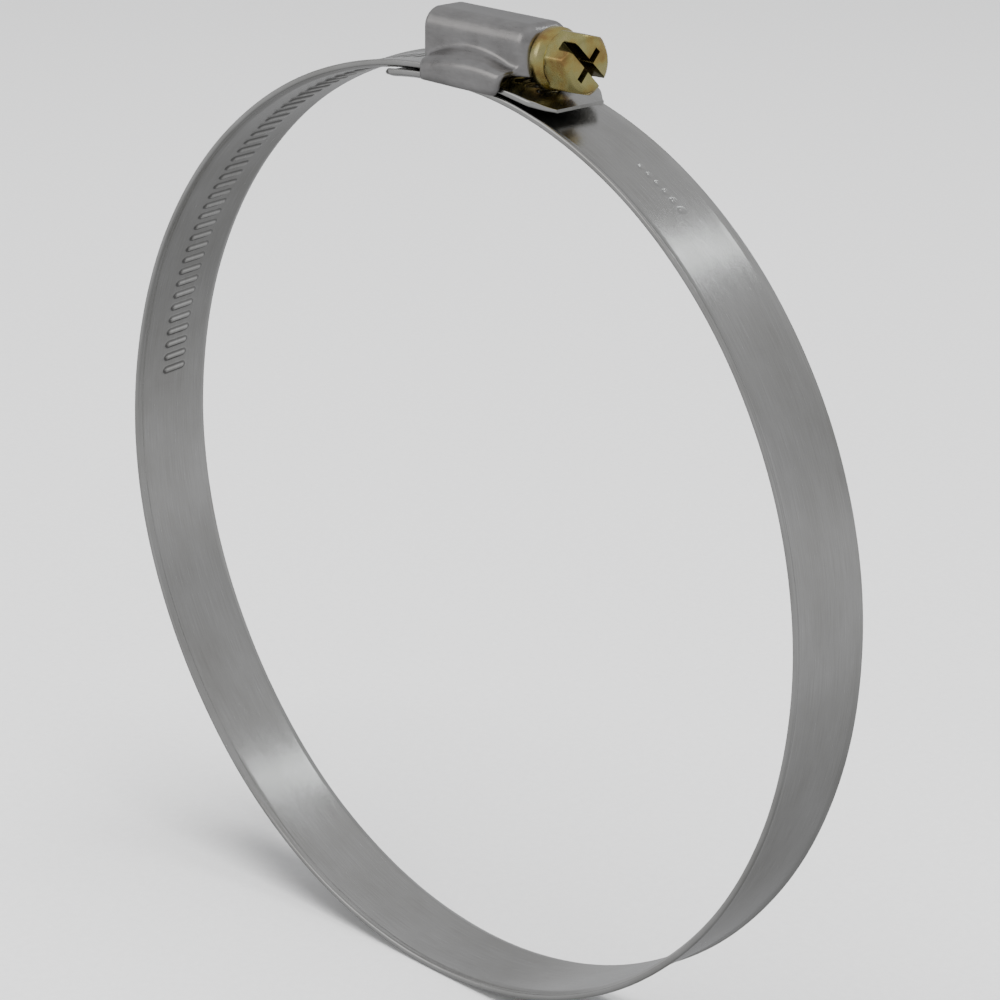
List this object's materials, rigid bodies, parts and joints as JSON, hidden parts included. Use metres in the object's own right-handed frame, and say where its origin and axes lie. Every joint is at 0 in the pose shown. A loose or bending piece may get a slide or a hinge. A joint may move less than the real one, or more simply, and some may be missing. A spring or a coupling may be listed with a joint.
{
  "type": "worm-drive hose clamp",
  "caption": "Worm-drive hose clamp: an embossed steel band, a pressed housing and a yellow zinc-plated hex-head worm screw that draws the band tight.",
  "frame": {"origin": "centre of the ring, half way along the band's width, with the clamp fully open", "axes": "+Y along the hose, +Z from the ring's centre through the worm and housing, +X towards the screw's head"},
  "size_m": [0.1234, 0.014, 0.1296],
  "materials": {
    "band_steel": "satin stainless steel sheet with faint rolling marks along the band",
    "housing_steel": "pressed stainless steel sheet, satin, brighter where it is bent",
    "screw_zinc": "zinc plated steel with a pale yellow passivated film"
  },
  "bodies": {
    "housing": {"worm_housing": "housing_steel", "band_fixed_end": "band_steel"},
    "screw": {"worm_screw": "screw_zinc"},
    "toothed_end": {"band_toothed_end": "band_steel"},
    "stretch_1": {"band_stretch_1": "band_steel"},
    "stretch_2": {"band_stretch_2": "band_steel"},
    "stretch_3": {"band_stretch_3": "band_steel"},
    "stretch_4": {"band_stretch_4": "band_steel"},
    "stretch_5": {"band_stretch_5": "band_steel"},
    "stretch_6": {"band_stretch_6": "band_steel"},
    "stretch_7": {"band_stretch_7": "band_steel"},
    "stretch_8": {"band_stretch_8": "band_steel"},
    "stretch_9": {"band_stretch_9": "band_steel"}
  },
  "joints": [
    {"name": "screw_turn", "type": "hinge", "parent": "housing", "child": "screw", "pos_m": [0, 0, 0.0645], "axis": [-1, 0, 0], "range_deg": [0, 11340]},
    {"name": "band_draw", "type": "hinge", "parent": "housing", "child": "toothed_end", "pos_m": [0, 0, 0], "axis": [0, 1, 0], "range_deg": [0, 58.55]},
    {"name": "band_bend_1", "type": "hinge", "parent": "housing", "child": "stretch_1", "pos_m": [0.01665, 0, 0.05806], "axis": [0, 1, 0], "range_deg": [0, 8.21]},
    {"name": "band_bend_2", "type": "hinge", "parent": "stretch_1", "child": "stretch_2", "pos_m": [0.04345, 0, 0.04196], "axis": [0, 1, 0], "range_deg": [0, 7.17]},
    {"name": "band_bend_3", "type": "hinge", "parent": "stretch_2", "child": "stretch_3", "pos_m": [0.05861, 0, 0.01461], "axis": [0, 1, 0], "range_deg": [0, 6.13]},
    {"name": "band_bend_4", "type": "hinge", "parent": "stretch_3", "child": "stretch_4", "pos_m": [0.05806, 0, -0.01665], "axis": [0, 1, 0], "range_deg": [0, 5.37]},
    {"name": "band_bend_5", "type": "hinge", "parent": "stretch_4", "child": "stretch_5", "pos_m": [0.04196, 0, -0.04345], "axis": [0, 1, 0], "range_deg": [0, 5.08]},
    {"name": "band_bend_6", "type": "hinge", "parent": "stretch_5", "child": "stretch_6", "pos_m": [0.01461, 0, -0.05861], "axis": [0, 1, 0], "range_deg": [0, 5.36]},
    {"name": "band_bend_7", "type": "hinge", "parent": "stretch_6", "child": "stretch_7", "pos_m": [-0.01665, 0, -0.05806], "axis": [0, 1, 0], "range_deg": [0, 6.12]},
    {"name": "band_bend_8", "type": "hinge", "parent": "stretch_7", "child": "stretch_8", "pos_m": [-0.04345, 0, -0.04196], "axis": [0, 1, 0], "range_deg": [0, 7.15]},
    {"name": "band_bend_9", "type": "hinge", "parent": "stretch_8", "child": "stretch_9", "pos_m": [-0.05908, 0, -0.01473], "axis": [0, 1, 0], "range_deg": [0, 8.19]}
  ],
  "couplings": [
    {"joint": "band_draw", "follows": "screw_turn", "ratio": 0.005159},
    {"joint": "band_bend_1", "follows": "screw_turn", "ratio": 0.0007212},
    {"joint": "band_bend_2", "follows": "screw_turn", "ratio": 0.0006296},
    {"joint": "band_bend_3", "follows": "screw_turn", "ratio": 0.0005379},
    {"joint": "band_bend_4", "follows": "screw_turn", "ratio": 0.0004705},
    {"joint": "band_bend_5", "follows": "screw_turn", "ratio": 0.0004456},
    {"joint": "band_bend_6", "follows": "screw_turn", "ratio": 0.0004697},
    {"joint": "band_bend_7", "follows": "screw_turn", "ratio": 0.0005366},
    {"joint": "band_bend_8", "follows": "screw_turn", "ratio": 0.0006281},
    {"joint": "band_bend_9", "follows": "screw_turn", "ratio": 0.0007199}
  ]
}
